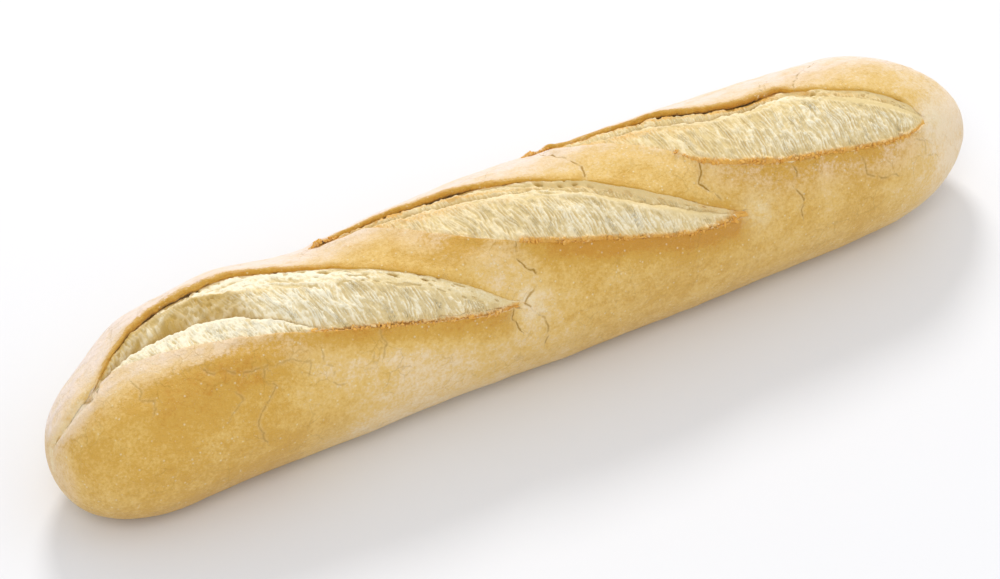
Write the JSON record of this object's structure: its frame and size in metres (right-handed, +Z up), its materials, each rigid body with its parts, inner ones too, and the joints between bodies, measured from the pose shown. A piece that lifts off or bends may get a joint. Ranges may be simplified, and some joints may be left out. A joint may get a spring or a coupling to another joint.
{
  "type": "baguette",
  "caption": "Short crusty bread loaf, rounded at both ends and flat underneath, with long diagonal cuts that have burst open along its top.",
  "frame": {"origin": "middle of the loaf's box, at the level of the flat underside", "axes": "+X along the loaf, from the end whose cut gapes widest to the other; +Z up; -Y towards the side that the cuts run down to"},
  "size_m": [0.3, 0.0596, 0.0526],
  "materials": {
    "crust": "dull golden-tan baked crust with fine crackles and darker mottling",
    "crumb": "matt cream torn crumb inside the cuts"
  },
  "bodies": {
    "root": {"baguette": "crust"}
  },
  "joints": []
}
